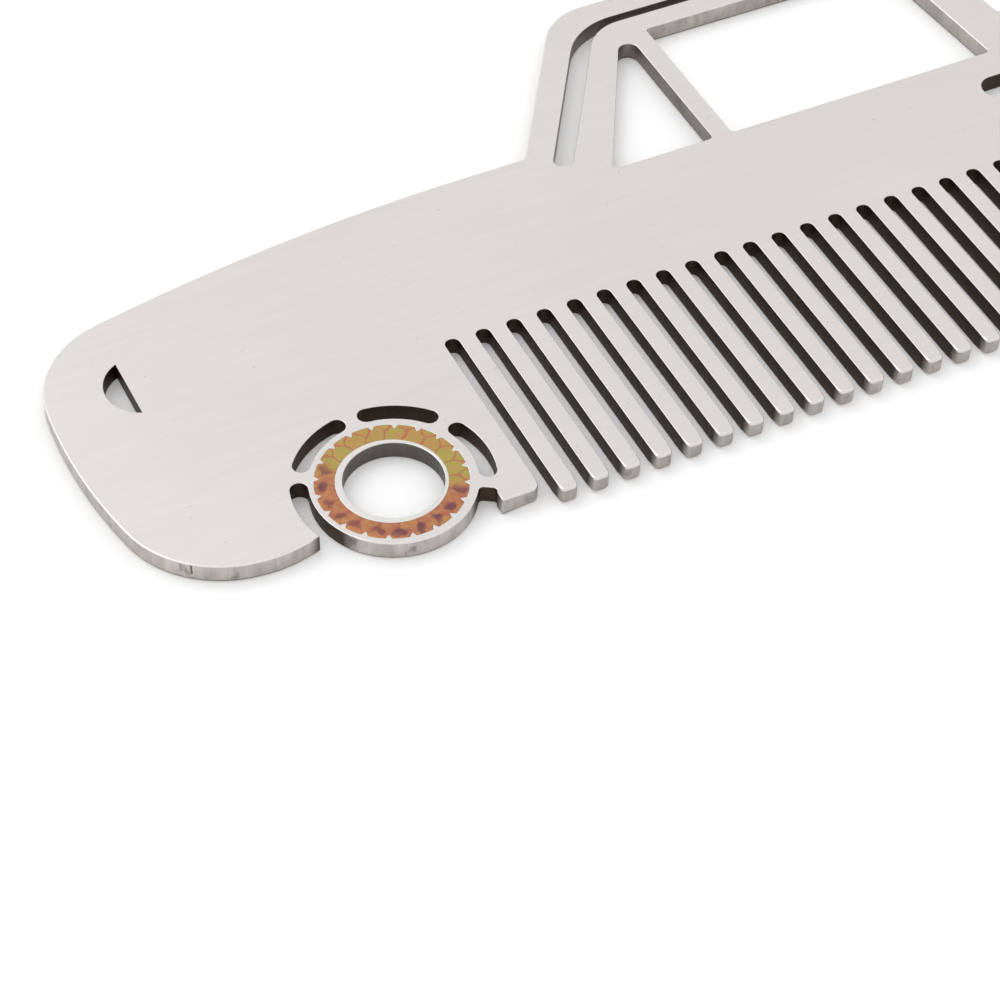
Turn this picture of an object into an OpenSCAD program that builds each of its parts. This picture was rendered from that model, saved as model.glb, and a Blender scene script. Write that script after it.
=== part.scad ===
// Pocket beard comb cut from sheet steel in the outline of an old pick-up truck.
// It lies flat: X runs from nose to tail, Y from tooth tips to roof, Z out of the sheet.
// Outlines are drawn with x measured from the nose and y from the tooth tips.

/* [Plate] */
// Overall length from nose to tail
comb_length = 134; // [130:0.5:145]
// Overall height from tooth tips to roof
comb_height = 48.5; // [47.5:0.5:52]
// Thickness of the sheet
plate_t = 1.5; // [0.8:0.1:3]
// Height of the bonnet and the load bed above the tooth tips
belt_y = 33; // [32.5:0.25:34]
// Corner radius inside the laser-cut openings
cut_r = 0.35; // [0.1:0.05:0.8]

/* [Teeth] */
// Number of teeth between the wheels
tooth_count = 28; // [20:1:28]
// Distance from one tooth to the next
tooth_pitch = 2.5; // [2:0.1:2.5]
// Width of the gap between two teeth
slot_w = 1.15; // [0.8:0.05:1.6]
// Length of a tooth from tip to root
tooth_length = 17.1; // [12:0.1:18]
// Corner radius of a tooth tip in plan
tip_r = 0.42; // [0.05:0.01:0.5]
// Distance from the nose to the middle of the first gap
first_slot_x = 29.35; // [29:0.05:30]

/* [Wheels] */
// Radius of a wheel disc
wheel_r = 6; // [5.8:0.1:6.2]
// Distance from the nose to the front wheel centre
wheel_x = 19.8; // [19:0.1:20.2]
// Width of the gap between a wheel and its arch
arch_gap = 1.3; // [1:0.05:1.5]
// Angle between the bridges that hold a wheel
bridge_pitch = 60; // [55:1:60]
// Width of a bridge, as an angle
bridge_angle = 9; // [6:0.5:14]
// Height of the sill between a wheel and the teeth
sill_y = 1; // [0.5:0.1:2]
// Corner radius of the sill beside the teeth
sill_r = 0.6; // [0.3:0.1:1.5]

/* [Wheel rings] */
// Outer radius of the coloured ring
inlay_r = 5.45; // [5:0.05:5.6]
// Outer radius of the steel liner inside the coloured ring
liner_r = 4; // [3.85:0.05:4.4]
// Radius of the hole through the liner
bore_r = 3.6; // [2:0.1:3.6]
// How far the rings sit off the wheel centre, towards the near end of the comb
ring_shift = 0.15; // [0:0.05:0.2]
// Number of V-shaped keys around the coloured ring
key_count = 20; // [8:1:24]
// How far a key reaches into the coloured ring
key_depth = 0.4; // [0.2:0.05:0.6]
// Width of a key at the ring's edge
key_w = 0.5; // [0.3:0.05:0.7]

/* [Cab] */
// Distance from the nose to the foot of the windscreen
screen_x = 43.4; // [42:0.1:45]
// Sideways run of the windscreen pillar for each unit of height
screen_rake = 0.64; // [0.6:0.01:0.68]
// Distance from the nose to the back of the cab at the belt line
cab_back_x = 87.4; // [86.5:0.1:90]
// Height of the window sill line
window_y = 29; // [27:0.25:30]
// Width of the rim between the outline and the windscreen slot
rim_w = 2.2; // [1.8:0.1:2.4]

/* [Hidden] */

$fn = 72;
over = 1;
arc_tolerance = 0.008;
steel = "#d6d2cf";
liner_steel = "#c9c5c1";
heat_tint = "#c88a48";

slot_count = tooth_count + 1;
last_slot_x = first_slot_x + tooth_count * tooth_pitch;
rear_wheel_x = last_slot_x + first_slot_x - wheel_x;
arch_r = wheel_r + arch_gap;
arch_mid_r = wheel_r + arch_gap / 2;
cap_angle = asin(arch_gap / 2 / arch_mid_r);
// Angles around a wheel run clockwise from straight up, the nose being on the left
first_bridge = -63;
key_turn = 8.6;
root_r = 0.46 * slot_w;
// Corner radius where a wheel's open gap ends by the sill
mouth_r = 0.32;
// The silhouette runs through the open gap under a wheel, from the wing to the toe of the sill
wing_angle = 248;
toe_angle = 128;
under_steps = 10;
toe_x = 25.8;
toe_y = 2;
cab_rake = -0.09;
roof_r = 5.3;
handle_r = 1.35;
handle_x = 82;
handle_y = 24.85;
handle_run = 4;
lamp_r = 2.94;
lamp_x = 7.5;
lamp_y = 22.35;
lamp_edge_x = 6.33;

function unit(v) = v / norm(v);

// One corner of an outline: p holds x, y and the radius that rounds it
function corner(before, p, after) =
    let (
        here = [p.x, p.y],
        u = unit([before.x, before.y] - here),
        v = unit([after.x, after.y] - here),
        opening = acos(u * v),
        start = here + u * p.z / tan(opening / 2),
        middle = here + unit(u + v) * p.z / sin(opening / 2),
        first = atan2(start.y - middle.y, start.x - middle.x),
        turn = (cross(u, v) < 0 ? 1 : -1) * (180 - opening),
        steps = ceil(abs(turn) / (2 * acos(1 - arc_tolerance / p.z)))
    )
    [for (i = [0:steps]) middle + p.z * [cos(first + turn * i / steps), sin(first + turn * i / steps)]];

// Outline from corners, each rounded by its own radius; radius 0 leaves it sharp
function rounded(points) =
    let (n = len(points))
    [
        for (i = [0:n - 1])
            each points[i].z == 0
                ? [[points[i].x, points[i].y]]
                : corner(points[(i + n - 1) % n], points[i], points[(i + 1) % n])
    ];

function screen_line(x, y) = x + screen_rake * (y - belt_y);
function cab_line(x, y) = x + cab_rake * (y - belt_y);

// Centres the drawing on the origin and gives it the sheet's thickness
module sheet() {
    translate([-comb_length / 2, -comb_height / 2, 0])
        linear_extrude(plate_t)
            children();
}

module at_front_wheel() {
    translate([wheel_x, wheel_r])
        children();
}

module at_rear_wheel() {
    translate([rear_wheel_x, wheel_r])
        mirror([1, 0])
            children();
}

module at_both_wheels() {
    at_front_wheel() children();
    at_rear_wheel() children();
}

// Points of a bend of radius bend_r between two clockwise angles, short of the last one.
// Its middle lies at radius r and clockwise angle a from the wheel centre.
function bend(r, a, bend_r, from, to) =
    let (
        middle = r * [sin(a), cos(a)],
        steps = ceil(abs(to - from) / (2 * acos(1 - arc_tolerance / bend_r)))
    )
    [
        for (i = [0:steps - 1])
            let (t = from + (to - from) * i / steps)
            middle + bend_r * [sin(t), cos(t)]
    ];

// Closed gap between wheel and arch, with fully round ends
module arch_slot(from, to) {
    start = from + bridge_angle / 2 + cap_angle;
    end = to - bridge_angle / 2 - cap_angle;
    polygon([
        each bend(0, 0, arch_r, start, end),
        each bend(arch_mid_r, end, arch_gap / 2, end, end + 180),
        each bend(0, 0, wheel_r, end, start),
        each bend(arch_mid_r, start, arch_gap / 2, start + 180, start + 360)
    ]);
}

// Open gap below the wheel, from its end by the sill, with rounded corners, to the wing
module arch_mouth(from, to) {
    start = from + bridge_angle / 2;
    inner_r = wheel_r + mouth_r;
    outer_r = arch_r - mouth_r;
    inner_turn = start + asin(mouth_r / inner_r);
    outer_turn = start + asin(mouth_r / outer_r);
    end = to - bridge_angle / 2 - cap_angle;
    polygon([
        each bend(0, 0, arch_r, outer_turn, end),
        each bend(arch_mid_r, end, arch_gap / 2, end, end + 180),
        each bend(0, 0, wheel_r, end, inner_turn),
        each bend(inner_r, inner_turn, mouth_r, inner_turn + 180, start + 270),
        inner_r * cos(inner_turn - start) * [sin(start), cos(start)],
        each bend(outer_r, outer_turn, mouth_r, start + 270, outer_turn + 360)
    ]);
}

module arch_gaps() {
    for (i = [0:2])
        arch_slot(first_bridge + i * bridge_pitch, first_bridge + (i + 1) * bridge_pitch);
    arch_mouth(first_bridge + 3 * bridge_pitch, first_bridge + 360);
}

// Edge of the coloured ring: a circle bitten by V-shaped keys
module keyed_disc() {
    root = key_w / 2 * (key_depth + over) / key_depth;
    translate([-ring_shift, 0])
        difference() {
            circle(inlay_r);
            for (i = [0:key_count - 1])
                rotate(-key_turn - i * 360 / key_count)
                    polygon([[0, inlay_r - key_depth], [root, inlay_r + over], [-root, inlay_r + over]]);
        }
}

module liner_disc() {
    translate([-ring_shift, 0])
        circle(liner_r);
}

// Corners of the gaps between the teeth, from the front sill to the rear one
function tooth_gaps() =
    [
        for (i = [0:slot_count - 1])
            let (
                left = first_slot_x + i * tooth_pitch - slot_w / 2,
                right = left + slot_w
            )
            each [
                i == 0 ? [left, sill_y, sill_r] : [left, 0, tip_r],
                [left, tooth_length, root_r],
                [right, tooth_length, root_r],
                i == slot_count - 1 ? [right, sill_y, sill_r] : [right, 0, tip_r]
            ]
    ];

// Points along the middle of a wheel's open gap; side is 1 at the front wheel, -1 at the rear
function under_wheel(x, side, from, to) =
    let (step = (to - from) / under_steps)
    [
        for (i = [0:under_steps])
            let (a = from + i * step)
            [x + side * arch_mid_r * sin(a), wheel_r + arch_mid_r * cos(a), 0]
    ];

// Silhouette of the truck, anticlockwise from the front wing
module truck_outline() {
    mirror_x = rear_wheel_x + wheel_x;
    polygon(rounded([
        [-0.35, 15.8, 41.6],
        [2.35, 4.2, 8.3],
        [9.9, 2.55, 10],
        each under_wheel(wheel_x, 1, wing_angle, toe_angle),
        [toe_x, toe_y, 0],
        [toe_x, sill_y, 0.15],
        each tooth_gaps(),
        [mirror_x - toe_x, sill_y, 0.15],
        [mirror_x - toe_x, toe_y, 0],
        each under_wheel(rear_wheel_x, -1, toe_angle, wing_angle),
        [comb_length - 9, 3.2, 8],
        [comb_length - 1, 5, 5],
        [comb_length, 20, 60],
        [comb_length, belt_y, 2.2],
        [cab_line(cab_back_x, belt_y), belt_y, 0.8],
        [cab_line(cab_back_x, comb_height), comb_height, 3.5],
        [screen_line(screen_x, comb_height), comb_height, roof_r],
        [screen_x, belt_y, 0.5],
        [22.7, belt_y, 155],
        [0.6, 28.3, 7.9]
    ]));
}

// Windscreen gap that runs up the pillar and narrows along the roof
module screen_slot() {
    low_y = window_y + 1.9;
    outer_y = comb_height - rim_w;
    inner_y = outer_y - 0.8;
    outer_x = screen_x + rim_w * norm([1, screen_rake]);
    inner_x = outer_x + 1.9;
    end_x = 79;
    polygon(rounded([
        [screen_line(inner_x, low_y), low_y, 0.7],
        [screen_line(inner_x, inner_y), inner_y, 4],
        [end_x, inner_y, 0.35],
        [end_x, outer_y, 0.35],
        [screen_line(outer_x, outer_y), outer_y, 6],
        [screen_line(outer_x, low_y), low_y, 0.7]
    ]));
}

module quarter_window() {
    post_x = 58;
    slant = 0.565;
    foot = 49;
    polygon(rounded([
        [foot, window_y, cut_r],
        [post_x, window_y, cut_r],
        [post_x, window_y + (post_x - foot) / slant, 0.86]
    ]));
}

module door_window() {
    post_x = 59.7;
    top_y = comb_height - 4.9;
    back_x = cab_back_x - 3.9;
    polygon(rounded([
        [post_x, window_y, cut_r],
        [cab_line(back_x, window_y), window_y, cut_r],
        [cab_line(back_x, top_y), top_y, cut_r],
        [post_x, top_y, cut_r]
    ]));
}

// Slot for the door handle
module handle_slot() {
    translate([handle_x, handle_y]) {
        circle(handle_r);
        translate([handle_run, 0])
            circle(handle_r);
        translate([0, -handle_r])
            square([handle_run, 2 * handle_r]);
    }
}

// D-shaped lamp opening: a disc cut off by a straight back edge
module lamp_window() {
    intersection() {
        translate([lamp_x, lamp_y])
            circle(lamp_r);
        translate([lamp_edge_x - 2 * lamp_r, lamp_y - lamp_r])
            square(2 * lamp_r);
    }
}

module comb_plate() {
    color(steel)
        sheet()
            difference() {
                truck_outline();
                at_both_wheels() arch_gaps();
                at_both_wheels() keyed_disc();
                screen_slot();
                quarter_window();
                door_window();
                handle_slot();
                lamp_window();
            }
}

module inlay_ring() {
    difference() {
        keyed_disc();
        liner_disc();
    }
}

module liner_ring() {
    difference() {
        liner_disc();
        circle(bore_r);
    }
}

module front_inlay_ring() {
    color(heat_tint)
        sheet()
            at_front_wheel() inlay_ring();
}

module front_liner_ring() {
    color(liner_steel)
        sheet()
            at_front_wheel() liner_ring();
}

module rear_inlay_ring() {
    color(heat_tint)
        sheet()
            at_rear_wheel() inlay_ring();
}

module rear_liner_ring() {
    color(liner_steel)
        sheet()
            at_rear_wheel() liner_ring();
}

comb_plate();
front_inlay_ring();
front_liner_ring();
rear_inlay_ring();
rear_liner_ring();
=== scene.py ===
"""Looks of the beard comb: a brushed steel plate with heat-tinted rings let into its wheels."""

import math

import bpy
from mathutils import Matrix, Vector
from mathutils.geometry import delaunay_2d_cdt


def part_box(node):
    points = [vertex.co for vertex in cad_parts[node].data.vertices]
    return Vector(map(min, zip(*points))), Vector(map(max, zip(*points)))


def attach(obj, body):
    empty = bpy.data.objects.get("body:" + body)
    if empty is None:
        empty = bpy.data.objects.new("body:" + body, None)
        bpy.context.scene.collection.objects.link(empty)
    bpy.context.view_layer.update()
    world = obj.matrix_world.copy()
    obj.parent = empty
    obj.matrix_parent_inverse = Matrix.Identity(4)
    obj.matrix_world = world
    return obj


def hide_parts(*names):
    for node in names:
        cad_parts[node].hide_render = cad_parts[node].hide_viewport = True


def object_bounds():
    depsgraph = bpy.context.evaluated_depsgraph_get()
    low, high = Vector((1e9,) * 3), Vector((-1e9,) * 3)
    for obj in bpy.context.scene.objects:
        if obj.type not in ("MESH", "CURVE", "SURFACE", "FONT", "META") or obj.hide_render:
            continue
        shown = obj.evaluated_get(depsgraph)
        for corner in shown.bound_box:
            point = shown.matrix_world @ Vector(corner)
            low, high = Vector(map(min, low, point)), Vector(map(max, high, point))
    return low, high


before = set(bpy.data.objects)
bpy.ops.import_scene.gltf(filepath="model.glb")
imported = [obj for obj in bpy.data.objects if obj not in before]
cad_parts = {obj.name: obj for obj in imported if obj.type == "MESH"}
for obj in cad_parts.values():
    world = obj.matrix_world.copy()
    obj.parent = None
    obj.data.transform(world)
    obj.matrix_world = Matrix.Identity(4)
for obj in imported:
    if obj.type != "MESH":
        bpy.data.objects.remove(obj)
cad_low, cad_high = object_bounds()

MM = 0.001

# Sizes below are in millimetres unless they say otherwise

# Radii of the rounded edges
EDGE_R = 0.085
UNDER_R = 0.12
RING_EDGE_R = 0.035
HOLE_EDGE_R = 0.06
TIP_TOP_R = 0.16
TIP_UNDER_R = 0.34
# Share of its radius that a top edge loses where the cut is darkened with soot and painted shade
SOOT_AND_SHADE_EDGE_LOSS = 0.4
# Rows of faces round an edge, and the flat strip kept beside it
EDGE_STEPS = 4
SUPPORT = 0.02
SHARP = math.radians(35)
# Least value of the divisor that carries a corner's step round the bend
TIGHTEST_CORNER = 0.35

plate_low, plate_high = [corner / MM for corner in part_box("comb_plate")]
THICK = plate_high.z - plate_low.z


def middle(node):
    """Centre of a CAD node in the plane of the sheet."""
    low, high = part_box(node)
    return ((low + high) / 2 / MM).to_2d()


def radius(node):
    low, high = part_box(node)
    return (high.y - low.y) / 2 / MM


# Wheels: each has its centre, and 1 in front or -1 at the rear, where it is mirrored
LINER_R = radius("front_liner_ring")
WHEEL_R = middle("front_liner_ring").y - plate_low.y
ARCH_R = WHEEL_R + 1.3
ARCH_SLACK = 0.05
RING_SHIFT = 0.15
WHEELS = {
    "front": (middle("front_liner_ring") + Vector((RING_SHIFT, 0)), 1),
    "rear": (middle("rear_liner_ring") - Vector((RING_SHIFT, 0)), -1),
}
# Angles between which the wall under a wheel is free of soot and painted shade, in degrees, and how fast
# the darkening fades there
CLEAN_FROM = 132
CLEAN_TO = 240
CLEAN_FADE = 10

# Teeth, and the sill that ends a little above them on each side
WHEEL_TO_TEETH = 1.5
TEETH_FROM = WHEELS["front"][0].x + WHEEL_R + WHEEL_TO_TEETH
TEETH_TO = WHEELS["rear"][0].x - WHEEL_R - WHEEL_TO_TEETH
TEETH_TOP = 20
SILL_RISE = 1.0
SILL_W = 1.6
# Height up to which a tooth's end is fully rounded, and the height over which that fades
TIP_END = 0.42
TIP_FADE = 0.9
TIP_LEVELS = [TIP_END + TIP_FADE * share for share in (0.25, 0.5, 1)]

# Soot and painted shade on the cut: share at a tooth's end, and where it deepens up the tooth
TIP_SOOT_AND_SHADE = 0.2
TIP_SOOT_AND_SHADE_FROM = 0.35
TIP_SOOT_AND_SHADE_FADE = 0.5
# Soot and painted shade in an opening by its area in square millimetres, the smallest and darkest openings
# first
OPENING_SOOT_AND_SHADE = ((20, 1), (100, 0.6), (math.inf, 0.2))
# Share of dark colour painted as shade on every wall of the liners, darkest look in the bore
LINER_SHADE = 0.8

# Where the laser's cut starts on the nose
LEAD_IN = (plate_low + Vector((4.1, 4.6, 0))).to_2d()
LEAD_IN_HALF_W = 0.09
LEAD_IN_REACH = 1.2
LEAD_IN_FOOT = 0.45

# Cells of the coloured ring, and where the first key lies
CELLS = 20
KEY_TURN = math.radians(8.6)
# Distance out from the liner at which each cell's seams meet, and how steeply the arms rise from there
SEAM_JOIN = 0.72
SEAM_SPREAD = 1.75


# ---------------------------------------------------------------- mesh work

def outlines(node):
    """Rims of a CAD node's top face as loops of points, with the material on their left."""
    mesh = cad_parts[node].data
    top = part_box(node)[1].z
    edges = set()
    for face in mesh.polygons:
        corners = [mesh.vertices[i].co for i in face.vertices]
        if all(top - c.z < 0.01 * MM for c in corners):
            spots = [(round(c.x / MM, 4), round(c.y / MM, 4)) for c in corners]
            edges |= set(zip(spots, spots[1:] + spots[:1]))
    rim = {a: b for a, b in edges if (b, a) not in edges}
    loops = []
    while rim:
        loop = [min(rim)]
        while loop[-1] in rim:
            loop.append(rim.pop(loop[-1]))
        loops.append([Vector(p) for p in loop[:-1]])
    return loops


def clamp(value):
    return min(max(value, 0), 1)


def area(loop):
    return sum(a.x * b.y - a.y * b.x for a, b in zip(loop, loop[1:] + loop[:1])) / 2


def above_tips(point):
    """Height above the lower end of the tooth or sill that the point is on, or None elsewhere."""
    reach = min(point.x - TEETH_FROM, TEETH_TO - point.x)
    rise = point.y - plate_low.y
    if reach < 0 or rise > TEETH_TOP:
        return None
    return rise - (SILL_RISE if reach < SILL_W else 0)


def tip_share(point):
    """1 at the ends of the teeth, falling to 0 some way up each tooth."""
    rise = above_tips(point)
    return 0 if rise is None else 1 - clamp((rise - TIP_END) / TIP_FADE)


def with_tip_points(loop):
    """The loop with points added along the sides of each tooth's end."""
    out = []
    for a, b in zip(loop, loop[1:] + loop[:1]):
        out.append(a)
        start, end = above_tips(a), above_tips(b)
        if None not in (start, end):
            cuts = [(y - start) / (end - start) for y in TIP_LEVELS if (start - y) * (end - y) < 0]
            out += [a.lerp(b, share) for share in sorted(cuts)]
    return out


def inward(loop):
    """For each point, the step into the material that moves both its edges by one."""
    steps = []
    for before, here, after in zip(loop[-1:] + loop[:-1], loop, loop[1:] + loop[:1]):
        u = (here - before).normalized()
        v = (after - here).normalized()
        left = Vector((-u.y - v.y, u.x + v.x))
        steps.append(left / max(1 + u.dot(v), TIGHTEST_CORNER))
    return steps


def edge_profile(top_r, under_r, line=1):
    """Rows from the top face round to the underside.

    Each row holds its inset and height, and its shares of wall, top edge and under edge.
    line is the under edge's share of painted shade, less where the edge is rounder.
    """
    quarter = [math.radians(90 * i / EDGE_STEPS) for i in range(EDGE_STEPS + 1)]
    bends = [(1 - math.sin(a), 1 - math.cos(a), a / quarter[-1]) for a in quarter]
    rows = [(top_r + SUPPORT, THICK, 0, 0, 0)]
    rows += [(top_r * out, THICK - top_r * down, wall, 1, 0) for out, down, wall in bends]
    rows += [(0, THICK - top_r - SUPPORT, 1, 0, 0)]
    rows += [(0, under_r + SUPPORT, 1, 0, 0)]
    rows += [(under_r * out, under_r * down, wall, 0, line) for out, down, wall in reversed(bends)]
    rows += [(under_r + SUPPORT, 0, 0, 0, 0)]
    return rows


def sides(face):
    return list(zip(face, face[1:] + face[:1]))


def cap(points, rim):
    """Triangles that fill the area on the left of the rim's edges."""
    made = delaunay_2d_cdt(points, rim, [], 0, 1e-5, True)
    triangles, sources = made[2], made[3]
    faces = [[sources[i][0] for i in triangle] for triangle in triangles]
    owner = {side: n for n, face in enumerate(faces) for side in sides(face)}
    walls = set(rim)
    kept = {owner[edge] for edge in rim}
    queue = sorted(kept)
    while queue:
        for a, b in sides(faces[queue.pop()]):
            beyond = owner.get((b, a))
            if (a, b) not in walls and beyond is not None and beyond not in kept:
                kept.add(beyond)
                queue.append(beyond)
    return [faces[n] for n in sorted(kept)]


def plate_mesh(name, loops, profile_of, soot_and_shade_of):
    """Solid sheet between loops, with a rounded edge along each.

    profile_of and soot_and_shade_of take a loop and one of its points.
    """
    verts, faces = [], []
    walls, edges, unders, soot_and_shade_values = [], [], [], []
    last = len(profile_of(loops[0], loops[0][0])) - 1
    caps = {0: ([], [], []), last: ([], [], [])}
    for loop in loops:
        steps = inward(loop)
        soot_and_shade = [soot_and_shade_of(loop, point) for point in loop]
        profiles = [profile_of(loop, point) for point in loop]
        count = len(loop)
        base = len(verts)
        for row, places in enumerate(zip(*profiles)):
            insets, heights, wall, edge, under = zip(*places)
            spots = [point + step * inset for point, step, inset in zip(loop, steps, insets)]
            if row in caps:
                points, rim, ids = caps[row]
                first = len(points)
                points += spots
                rim += [(first + i, first + (i + 1) % count) for i in range(count)]
                ids += range(len(verts), len(verts) + count)
            verts += [(p.x * MM, p.y * MM, z * MM) for p, z in zip(spots, heights)]
            walls += wall
            edges += edge
            unders += under
            soot_and_shade_values += soot_and_shade
        for row in range(last):
            upper = base + row * count
            lower = upper + count
            for i in range(count):
                j = (i + 1) % count
                faces.append((lower + i, lower + j, upper + j, upper + i))
    for row, (points, rim, ids) in caps.items():
        for face in cap(points, rim):
            corners = [ids[i] for i in face]
            faces.append(corners if row == 0 else corners[::-1])
    mesh = bpy.data.meshes.new(name)
    mesh.from_pydata(verts, [], faces)
    mesh.validate()
    mesh.polygons.foreach_set("use_smooth", [True] * len(mesh.polygons))
    mesh.set_sharp_from_angle(angle=SHARP)
    for label, values in (("wall", walls), ("edge", edges), ("under", unders), ("soot_and_shade", soot_and_shade_values)):
        mesh.attributes.new(label, "FLOAT", "POINT").data.foreach_set("value", values)
    piece = bpy.data.objects.new(name, mesh)
    bpy.context.scene.collection.objects.link(piece)
    return piece


# ---------------------------------------------------------------- shader work

class Shade:
    """A shader socket: arithmetic on it adds Math nodes, and node() adds any other node."""

    def __init__(self, tree, socket=None):
        self.tree = tree
        self.socket = socket

    def node(self, kind, settings=None, inputs=None, output=0):
        made = self.tree.nodes.new("ShaderNode" + kind)
        for name, value in (settings or {}).items():
            setattr(made, name, value)
        for name, value in (inputs or {}).items():
            if isinstance(value, Shade):
                self.tree.links.new(value.socket, made.inputs[name])
            else:
                made.inputs[name].default_value = value
        return Shade(self.tree, made.outputs[output])

    def math(self, operation, *values):
        return self.node("Math", {"operation": operation}, dict(enumerate(values)))

    def __add__(self, other):
        return self.math("ADD", self, other)

    def __radd__(self, other):
        return self.math("ADD", other, self)

    def __sub__(self, other):
        return self.math("SUBTRACT", self, other)

    def __rsub__(self, other):
        return self.math("SUBTRACT", other, self)

    def __mul__(self, other):
        return self.math("MULTIPLY", self, other)

    def __rmul__(self, other):
        return self.math("MULTIPLY", other, self)

    def __truediv__(self, other):
        return self.math("DIVIDE", self, other)

    def __abs__(self):
        return self.math("ABSOLUTE", self)

    def least(self, other):
        return self.math("MINIMUM", self, other)

    def most(self, other):
        return self.math("MAXIMUM", self, other)

    def step(self, low, high):
        """0 at low, 1 at high, eased between; low may be the larger."""
        ends = {0: self, 1: low, 2: high}
        return self.node("MapRange", {"interpolation_type": "SMOOTHSTEP"}, ends)

    def mix(self, first, second):
        """First where this is 0, second where it is 1."""
        return self.node("Mix", {"data_type": "RGBA"}, {0: self, 6: first, 7: second}, 2)

    def axis(self, index):
        return self.node("SeparateXYZ", {}, {0: self}, index)

    def stretch(self, x, y, z):
        return self.node("VectorMath", {"operation": "MULTIPLY"}, {0: self, 1: (x, y, z)})

    def noise(self, x, y, z, detail=3, rough=0.5):
        """Noise over a position, with x, y and z features to the metre."""
        inputs = {"Vector": self.stretch(x, y, z), "Scale": 1, "Detail": detail, "Roughness": rough}
        return self.node("TexNoise", {}, inputs)


def srgb(red, green, blue):
    """Linear colour from eight-bit screen values."""
    parts = [value / 255 for value in (red, green, blue)]
    return tuple(p / 12.92 if p <= 0.04045 else ((p + 0.055) / 1.055) ** 2.4 for p in parts) + (1,)


def material(name, paint, **constants):
    """Material whose paint function returns the varying sockets of its shader."""
    made = bpy.data.materials.new(name)
    made.use_nodes = True
    tree = made.node_tree
    shader = tree.nodes["Principled BSDF"]
    start = Shade(tree)
    place = start.node("TexCoord", output="Object")
    for label, value in constants.items():
        shader.inputs[label.replace("_", " ")].default_value = value
    for label, shade in paint(start, place).items():
        tree.links.new(shade.socket, shader.inputs[label.replace("_", " ")])
    return made


BLACK = (0, 0, 0, 1)
# Heat tints of the coloured ring
OCHRE = srgb(184, 154, 86)
OLIVE = srgb(164, 162, 82)
YELLOW_GREEN = srgb(174, 164, 78)
PALE_COPPER = srgb(192, 132, 90)
BRICK = srgb(184, 104, 84)
AMBER = srgb(190, 136, 90)
COPPER = srgb(176, 106, 84)
RUST = srgb(156, 84, 76)
PALE_AMBER = srgb(194, 136, 82)
PLUM = srgb(110, 66, 80)
# Steel: flat face, clean wall, dark wall of soot and painted shade (painted shade alone on the liner), and
# edge colour that is a painted highlight
PLATE_STEEL = (srgb(222, 218, 215), srgb(186, 181, 177), srgb(74, 61, 52), srgb(234, 232, 230))
LINER_STEEL = (srgb(226, 223, 220), srgb(150, 144, 140), srgb(86, 81, 78), srgb(240, 238, 236))
# Shares of mixing at which the faces and the walls have their plain colour
FACE_LEVEL = 0.8
WALL_LEVEL = 0.6
# Colour of the painted shade along the under edge, where the sheet meets the floor
UNDER_SHADE = srgb(62, 52, 46)
# Depth of the surfaces' relief
STEEL_RELIEF = 0.004 * MM
TINT_RELIEF = 0.015 * MM


def shaded(color, level, shade):
    """The colour made lighter and darker by a socket that is 1 on average."""
    full = tuple(part / level for part in color[:3]) + (1,)
    return (shade * level).mix(BLACK, full)


def attribute(start, name):
    return start.node("Attribute", {"attribute_name": name}, output="Fac")


def bump(start, height, depth):
    """Normal from a height socket, in metres of depth."""
    return start.node("Bump", {}, {"Height": height, "Distance": depth, "Strength": 1})


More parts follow.
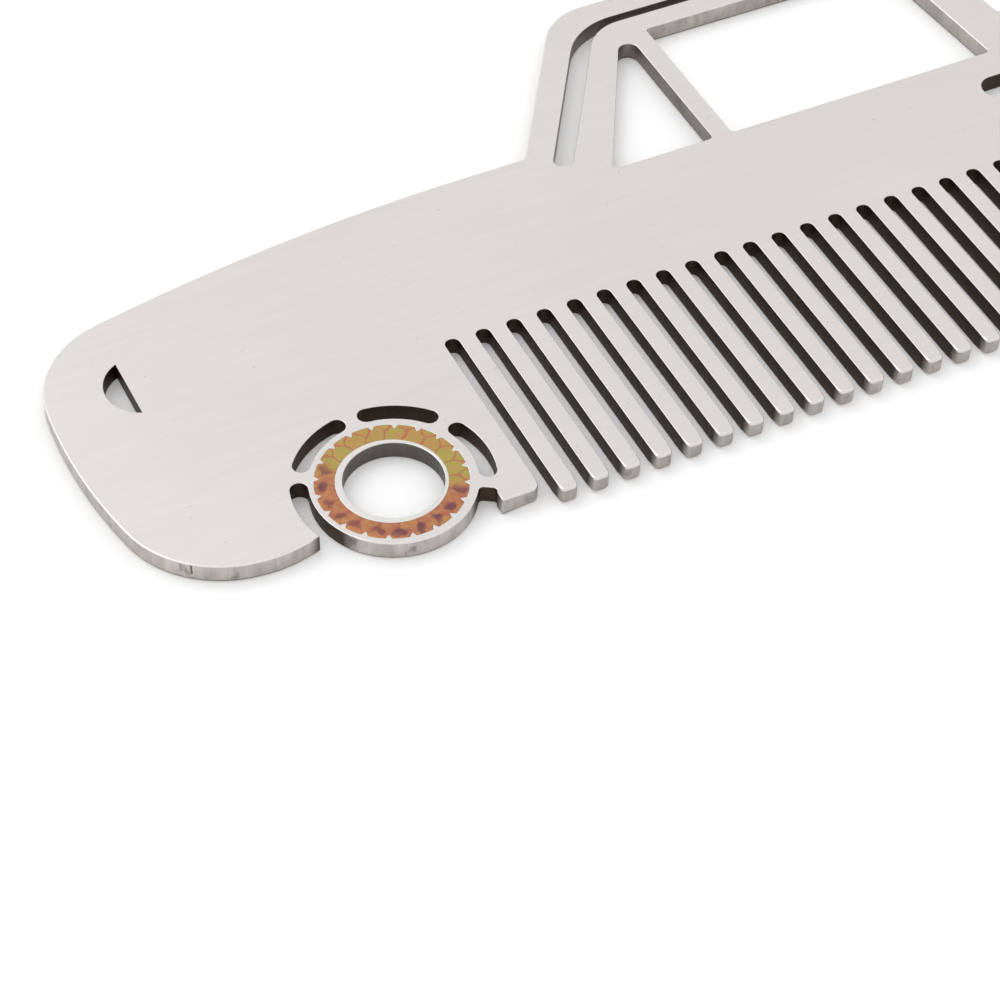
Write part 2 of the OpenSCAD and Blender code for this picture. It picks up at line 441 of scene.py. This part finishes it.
def steel_paint(top, wall, dark, painted_highlight, mark=None):
    """Brushed face, streaked walls, cuts darkened with soot and painted shade, a broken edge with a painted
    highlight and painted shade along the under edge, with the cut's start at mark.
    """

    def paint(start, place):
        wall_share = attribute(start, "wall").step(0.3, 0.8)
        edge_share = attribute(start, "edge").step(0.2, 1)
        under_share = attribute(start, "under").step(0.2, 1)
        soot_and_shade = attribute(start, "soot_and_shade")

        # Brushing runs along the comb
        fine = place.noise(180, 11000, 400, 2)
        coarse = place.noise(70, 3200, 200, 3)
        grain = fine * 0.72 + coarse * 0.28
        cloud = place.noise(35, 35, 35, 3, 0.6)
        worn = place.noise(120, 120, 120, 2).step(0.5, 0.62)
        scratch = place.noise(500, 9000, 200, 1).step(0.73, 0.78) * worn
        speck = place.noise(1500, 1900, 1500, 1).step(0.76, 0.8)
        face_shade = 1 + (grain - 0.5) * 0.14 + (cloud - 0.5) * 0.08 - scratch * 0.12 - speck * 0.12

        # Streaks on the walls run through the sheet
        streak = place.noise(2300, 2300, 120, 4, 0.65)
        smear = place.noise(500, 500, 300, 3, 0.6)
        spots = place.noise(2600, 2600, 2600, 3, 0.7).step(0.58, 0.72)
        stain = place.noise(650, 650, 450, 4, 0.65).step(0.57, 0.7)
        wall_shade = 1 + (streak - 0.5) * 0.7 + (smear - 0.5) * 0.9 - spots * 0.14

        face_color = shaded(top, FACE_LEVEL, face_shade)
        clean_color = shaded(wall, WALL_LEVEL, wall_shade)
        # The dark wall colour stands for laser soot together with painted shade in gaps and slots
        sooty_shaded_color = shaded(dark, WALL_LEVEL, wall_shade)
        wall_color = (soot_and_shade + (smear - 0.5) * 0.25 * soot_and_shade).mix(clean_color, sooty_shaded_color)
        wall_color = (stain * 0.45).mix(wall_color, dark)
        if mark:
            x = abs(place.axis(0) / MM - mark.x + (smear - 0.5) * 0.25)
            y = abs(place.axis(1) / MM - mark.y)
            z = place.axis(2) / MM
            across = x.step(LEAD_IN_HALF_W, 0.04)
            near = y.step(LEAD_IN_REACH, 0.9)
            above = z.step(LEAD_IN_FOOT, 0.65)
            wall_color = (across * near * above * 0.8).mix(wall_color, dark)
        color = wall_share.mix(face_color, wall_color)
        # Painted highlight along the top edge, weaker where the cut is dark
        color = (edge_share * (0.7 - soot_and_shade * 0.6)).mix(color, painted_highlight)
        # Painted shade along the under edge, where the sheet meets the floor
        color = (under_share * 0.85).mix(color, UNDER_SHADE)

        face_rough = 0.36 + (grain - 0.5) * 0.3 + cloud * 0.06
        wall_rough = 0.42 + (streak - 0.5) * 0.3 + soot_and_shade * 0.1
        rough = face_rough + (wall_rough - face_rough) * wall_share - edge_share * 0.12
        face_height = (grain * 0.6 - scratch * 0.8 - speck * 1.2) * (1 - wall_share)
        height = face_height + streak * 2.5 * wall_share
        return {"Base Color": color, "Roughness": rough, "Normal": bump(start, height, STEEL_RELIEF)}

    return paint


def tint_paint(centre, side):
    """Heat-tinted cells: petals, with Y-shaped seams that meet at the middle of each cell."""

    def paint(start, place):
        x = (place.axis(0) / MM - centre.x) * side
        y = place.axis(1) / MM - centre.y
        wander = place.noise(900, 900, 900, 2) - 0.5
        drift = place.noise(700, 700, 700, 2, 0.4) - 0.5
        mottle = place.noise(1400, 1400, 1400, 3, 0.6)
        blush = place.noise(380, 380, 380, 2, 0.5).step(0.42, 0.62)

        # Place within the ring: out from its centre, clockwise round it, and across one cell
        r = start.math("SQRT", x * x + y * y) + wander * 1.5
        turn = start.math("ARCTAN2", x, y)
        cell = 2 * math.pi / CELLS
        share = start.math("FRACT", (turn - KEY_TURN) / cell + 10) - 0.5 + drift * 0.9
        off = abs(share)

        # Each seam has a stem inwards and two arms outwards, with a lighter wedge between the arms
        junction = LINER_R + SEAM_JOIN
        spread = r - junction - off * SEAM_SPREAD
        arm = abs(spread) * 0.75
        stem = off * cell * junction + (r - junction).most(0) * 3
        seam = (arm.least(stem) + (mottle - 0.5) * 0.16).step(0.17, 0.03)
        wedge = spread.step(-0.05, 0.08)
        beyond = r - junction - 0.05
        blot = beyond * beyond + (off * 1.5) * (off * 1.5)
        blotch = (blot + wander * 0.3).step(0.3, 0.04)

        petal = mottle.step(0.3, 0.7).mix(OCHRE, OLIVE)
        petal = (wedge * 0.4).mix(petal, YELLOW_GREEN)
        petal = (blush * 0.4).mix(petal, PALE_COPPER)
        green = (seam * 0.8).mix(petal, BRICK)
        body = mottle.step(0.3, 0.7).mix(AMBER, COPPER)
        orange = (seam * 0.45).mix(body, RUST)
        orange = (wedge * 0.45).mix(orange, PALE_AMBER)
        orange = (blotch * (0.85 - blush * 0.4)).mix(orange, PLUM)
        drifted = turn + drift * 1.1
        green_side = drifted.step(-1.15, -0.65) * drifted.step(2.25, 1.8)
        color = green_side.mix(orange, green)

        rough = 0.3 + mottle * 0.14 + seam * 0.08
        height = wedge * 0.5 - seam + mottle * 0.3
        return {"Base Color": color, "Roughness": rough, "Normal": bump(start, height, TINT_RELIEF)}

    return paint


# ---------------------------------------------------------------- pieces

def clock(point, centre, side):
    """Clockwise angle from straight up about a wheel, in degrees, mirrored at the rear."""
    offset = point - centre
    return math.degrees(math.atan2(side * offset.x, offset.y)) % 360


def plate_soot_and_shade(loop, point):
    """How dark the cut is painted here, with laser soot and painted shade: 0 on the worked outer edges, 1
    in narrow gaps.
    """
    size = -area(loop)
    if size > 0:
        return next(soot_and_shade for largest, soot_and_shade in OPENING_SOOT_AND_SHADE if size < largest)
    rise = above_tips(point)
    if rise is not None:
        return TIP_SOOT_AND_SHADE + (1 - TIP_SOOT_AND_SHADE) * clamp((rise - TIP_SOOT_AND_SHADE_FROM) / TIP_SOOT_AND_SHADE_FADE)
    for centre, side in WHEELS.values():
        turn = clock(point, centre, side)
        if (point - centre).length < ARCH_R + ARCH_SLACK:
            return 1 - clamp(min(turn - CLEAN_FROM, CLEAN_TO - turn) / CLEAN_FADE)
    return 0


def holds_ring(loop):
    return any(max((point - centre).length for point in loop) < WHEEL_R for centre, side in WHEELS.values())


def plate_profile(loop, point):
    """Close-fitting round the rings, broken elsewhere, and rounder at the ends of the teeth."""
    if holds_ring(loop):
        return edge_profile(RING_EDGE_R, RING_EDGE_R)
    share = tip_share(point)
    top_r = EDGE_R * (1 - SOOT_AND_SHADE_EDGE_LOSS * plate_soot_and_shade(loop, point))
    top_r += (TIP_TOP_R - top_r) * share
    under_r = UNDER_R + (TIP_UNDER_R - UNDER_R) * share
    return edge_profile(top_r, under_r, 1 - share)


def comb_plate():
    loops = [with_tip_points(loop) for loop in outlines("comb_plate")]
    piece = plate_mesh("brushed_comb_plate", loops, plate_profile, plate_soot_and_shade)
    piece.data.materials.append(material("brushed steel", steel_paint(*PLATE_STEEL, LEAD_IN), Metallic=1.0))
    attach(piece, "root")
    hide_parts("comb_plate")


def tinted_inlay(end):
    centre, side = WHEELS[end]
    ring_centre = centre - Vector((side * RING_SHIFT, 0))
    seat = edge_profile(RING_EDGE_R, RING_EDGE_R)
    loops = outlines(end + "_inlay_ring")
    inlay = plate_mesh(end + "_tinted_inlay", loops, lambda loop, point: seat, lambda loop, point: 0)
    look = material(end + " heat-tinted inlay", tint_paint(ring_centre, side), Metallic=0.75)
    inlay.data.materials.append(look)
    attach(inlay, "root")
    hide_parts(end + "_inlay_ring")


def turned_liner(end):
    seat = edge_profile(RING_EDGE_R, RING_EDGE_R)
    hole = edge_profile(HOLE_EDGE_R, UNDER_R)
    liner = plate_mesh(
        end + "_turned_liner",
        outlines(end + "_liner_ring"),
        lambda loop, point: hole if area(loop) < 0 else seat,
        lambda loop, point: LINER_SHADE,
    )
    liner.data.materials.append(material(end + " turned steel", steel_paint(*LINER_STEEL), Metallic=1.0))
    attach(liner, "root")
    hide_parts(end + "_liner_ring")


comb_plate()
for end in WHEELS:
    tinted_inlay(end)
    turned_liner(end)


# ---------------------------------------------------------------- studio

# Half the floor's width in metres, and the gap between it and the comb
FLOOR_HALF = 3.0
FLOOR_GAP = 0.02


def floor():
    mesh = bpy.data.meshes.new("floor")
    half = FLOOR_HALF
    corners = [(-half, -half, 0), (half, -half, 0), (half, half, 0), (-half, half, 0)]
    mesh.from_pydata(corners, [], [(0, 1, 2, 3)])
    piece = bpy.data.objects.new("floor", mesh)
    piece.location.z = cad_low.z - FLOOR_GAP * MM
    bpy.context.scene.collection.objects.link(piece)

    def paint(start, place):
        return {"Roughness": 0.55 + 0.1 * place.noise(40, 40, 40, 3)}

    look = material(
        "white sweep",
        paint,
        Base_Color=(0.92, 0.92, 0.92, 1),
        Emission_Color=(1, 1, 1, 1),
        Emission_Strength=0.12,
    )
    mesh.materials.append(look)


def softbox(name, place, aim, size, watts):
    data = bpy.data.lights.new(name, "AREA")
    data.shape = "RECTANGLE"
    data.size, data.size_y = size
    data.energy = watts
    lamp = bpy.data.objects.new(name, data)
    lamp.location = place
    lamp.rotation_mode = "QUATERNION"
    lamp.rotation_quaternion = (Vector(aim) - Vector(place)).to_track_quat("-Z", "Y")
    bpy.context.scene.collection.objects.link(lamp)


def sky(strength):
    world = bpy.data.worlds.new("studio")
    world.use_nodes = True
    back = world.node_tree.nodes["Background"]
    back.inputs["Color"].default_value = (1, 1, 1, 1)
    back.inputs["Strength"].default_value = strength
    bpy.context.scene.world = world


def camera():
    """Looks down on the nose, the front wheel and the teeth from beside the tooth tips."""
    aim = middle("front_liner_ring").to_3d() * MM + Vector((6.0, -4.9, THICK)) * MM
    azimuth, elevation, roll = math.radians(26.8), math.radians(47.15), math.radians(1.1)
    distance = 192 * MM
    ahead = Vector((
        math.sin(azimuth) * math.cos(elevation),
        math.cos(azimuth) * math.cos(elevation),
        -math.sin(elevation),
    ))
    data = bpy.data.cameras.new("camera")
    data.sensor_width = 36
    data.lens = 99.7
    data.clip_start, data.clip_end = 0.01, 20
    eye = bpy.data.objects.new("camera", data)
    eye.matrix_world = (
        Matrix.Translation(aim - ahead * distance)
        @ ahead.to_track_quat("-Z", "Y").to_matrix().to_4x4()
        @ Matrix.Rotation(roll, 4, "Z")
    )
    bpy.context.scene.collection.objects.link(eye)
    bpy.context.scene.camera = eye


floor()
sky(0.95)
softbox("key", (-0.5, 0.6, 1.1), (0, 0, 0), (0.9, 0.9), 3)
camera()
bpy.context.scene.view_settings.view_transform = "Standard"
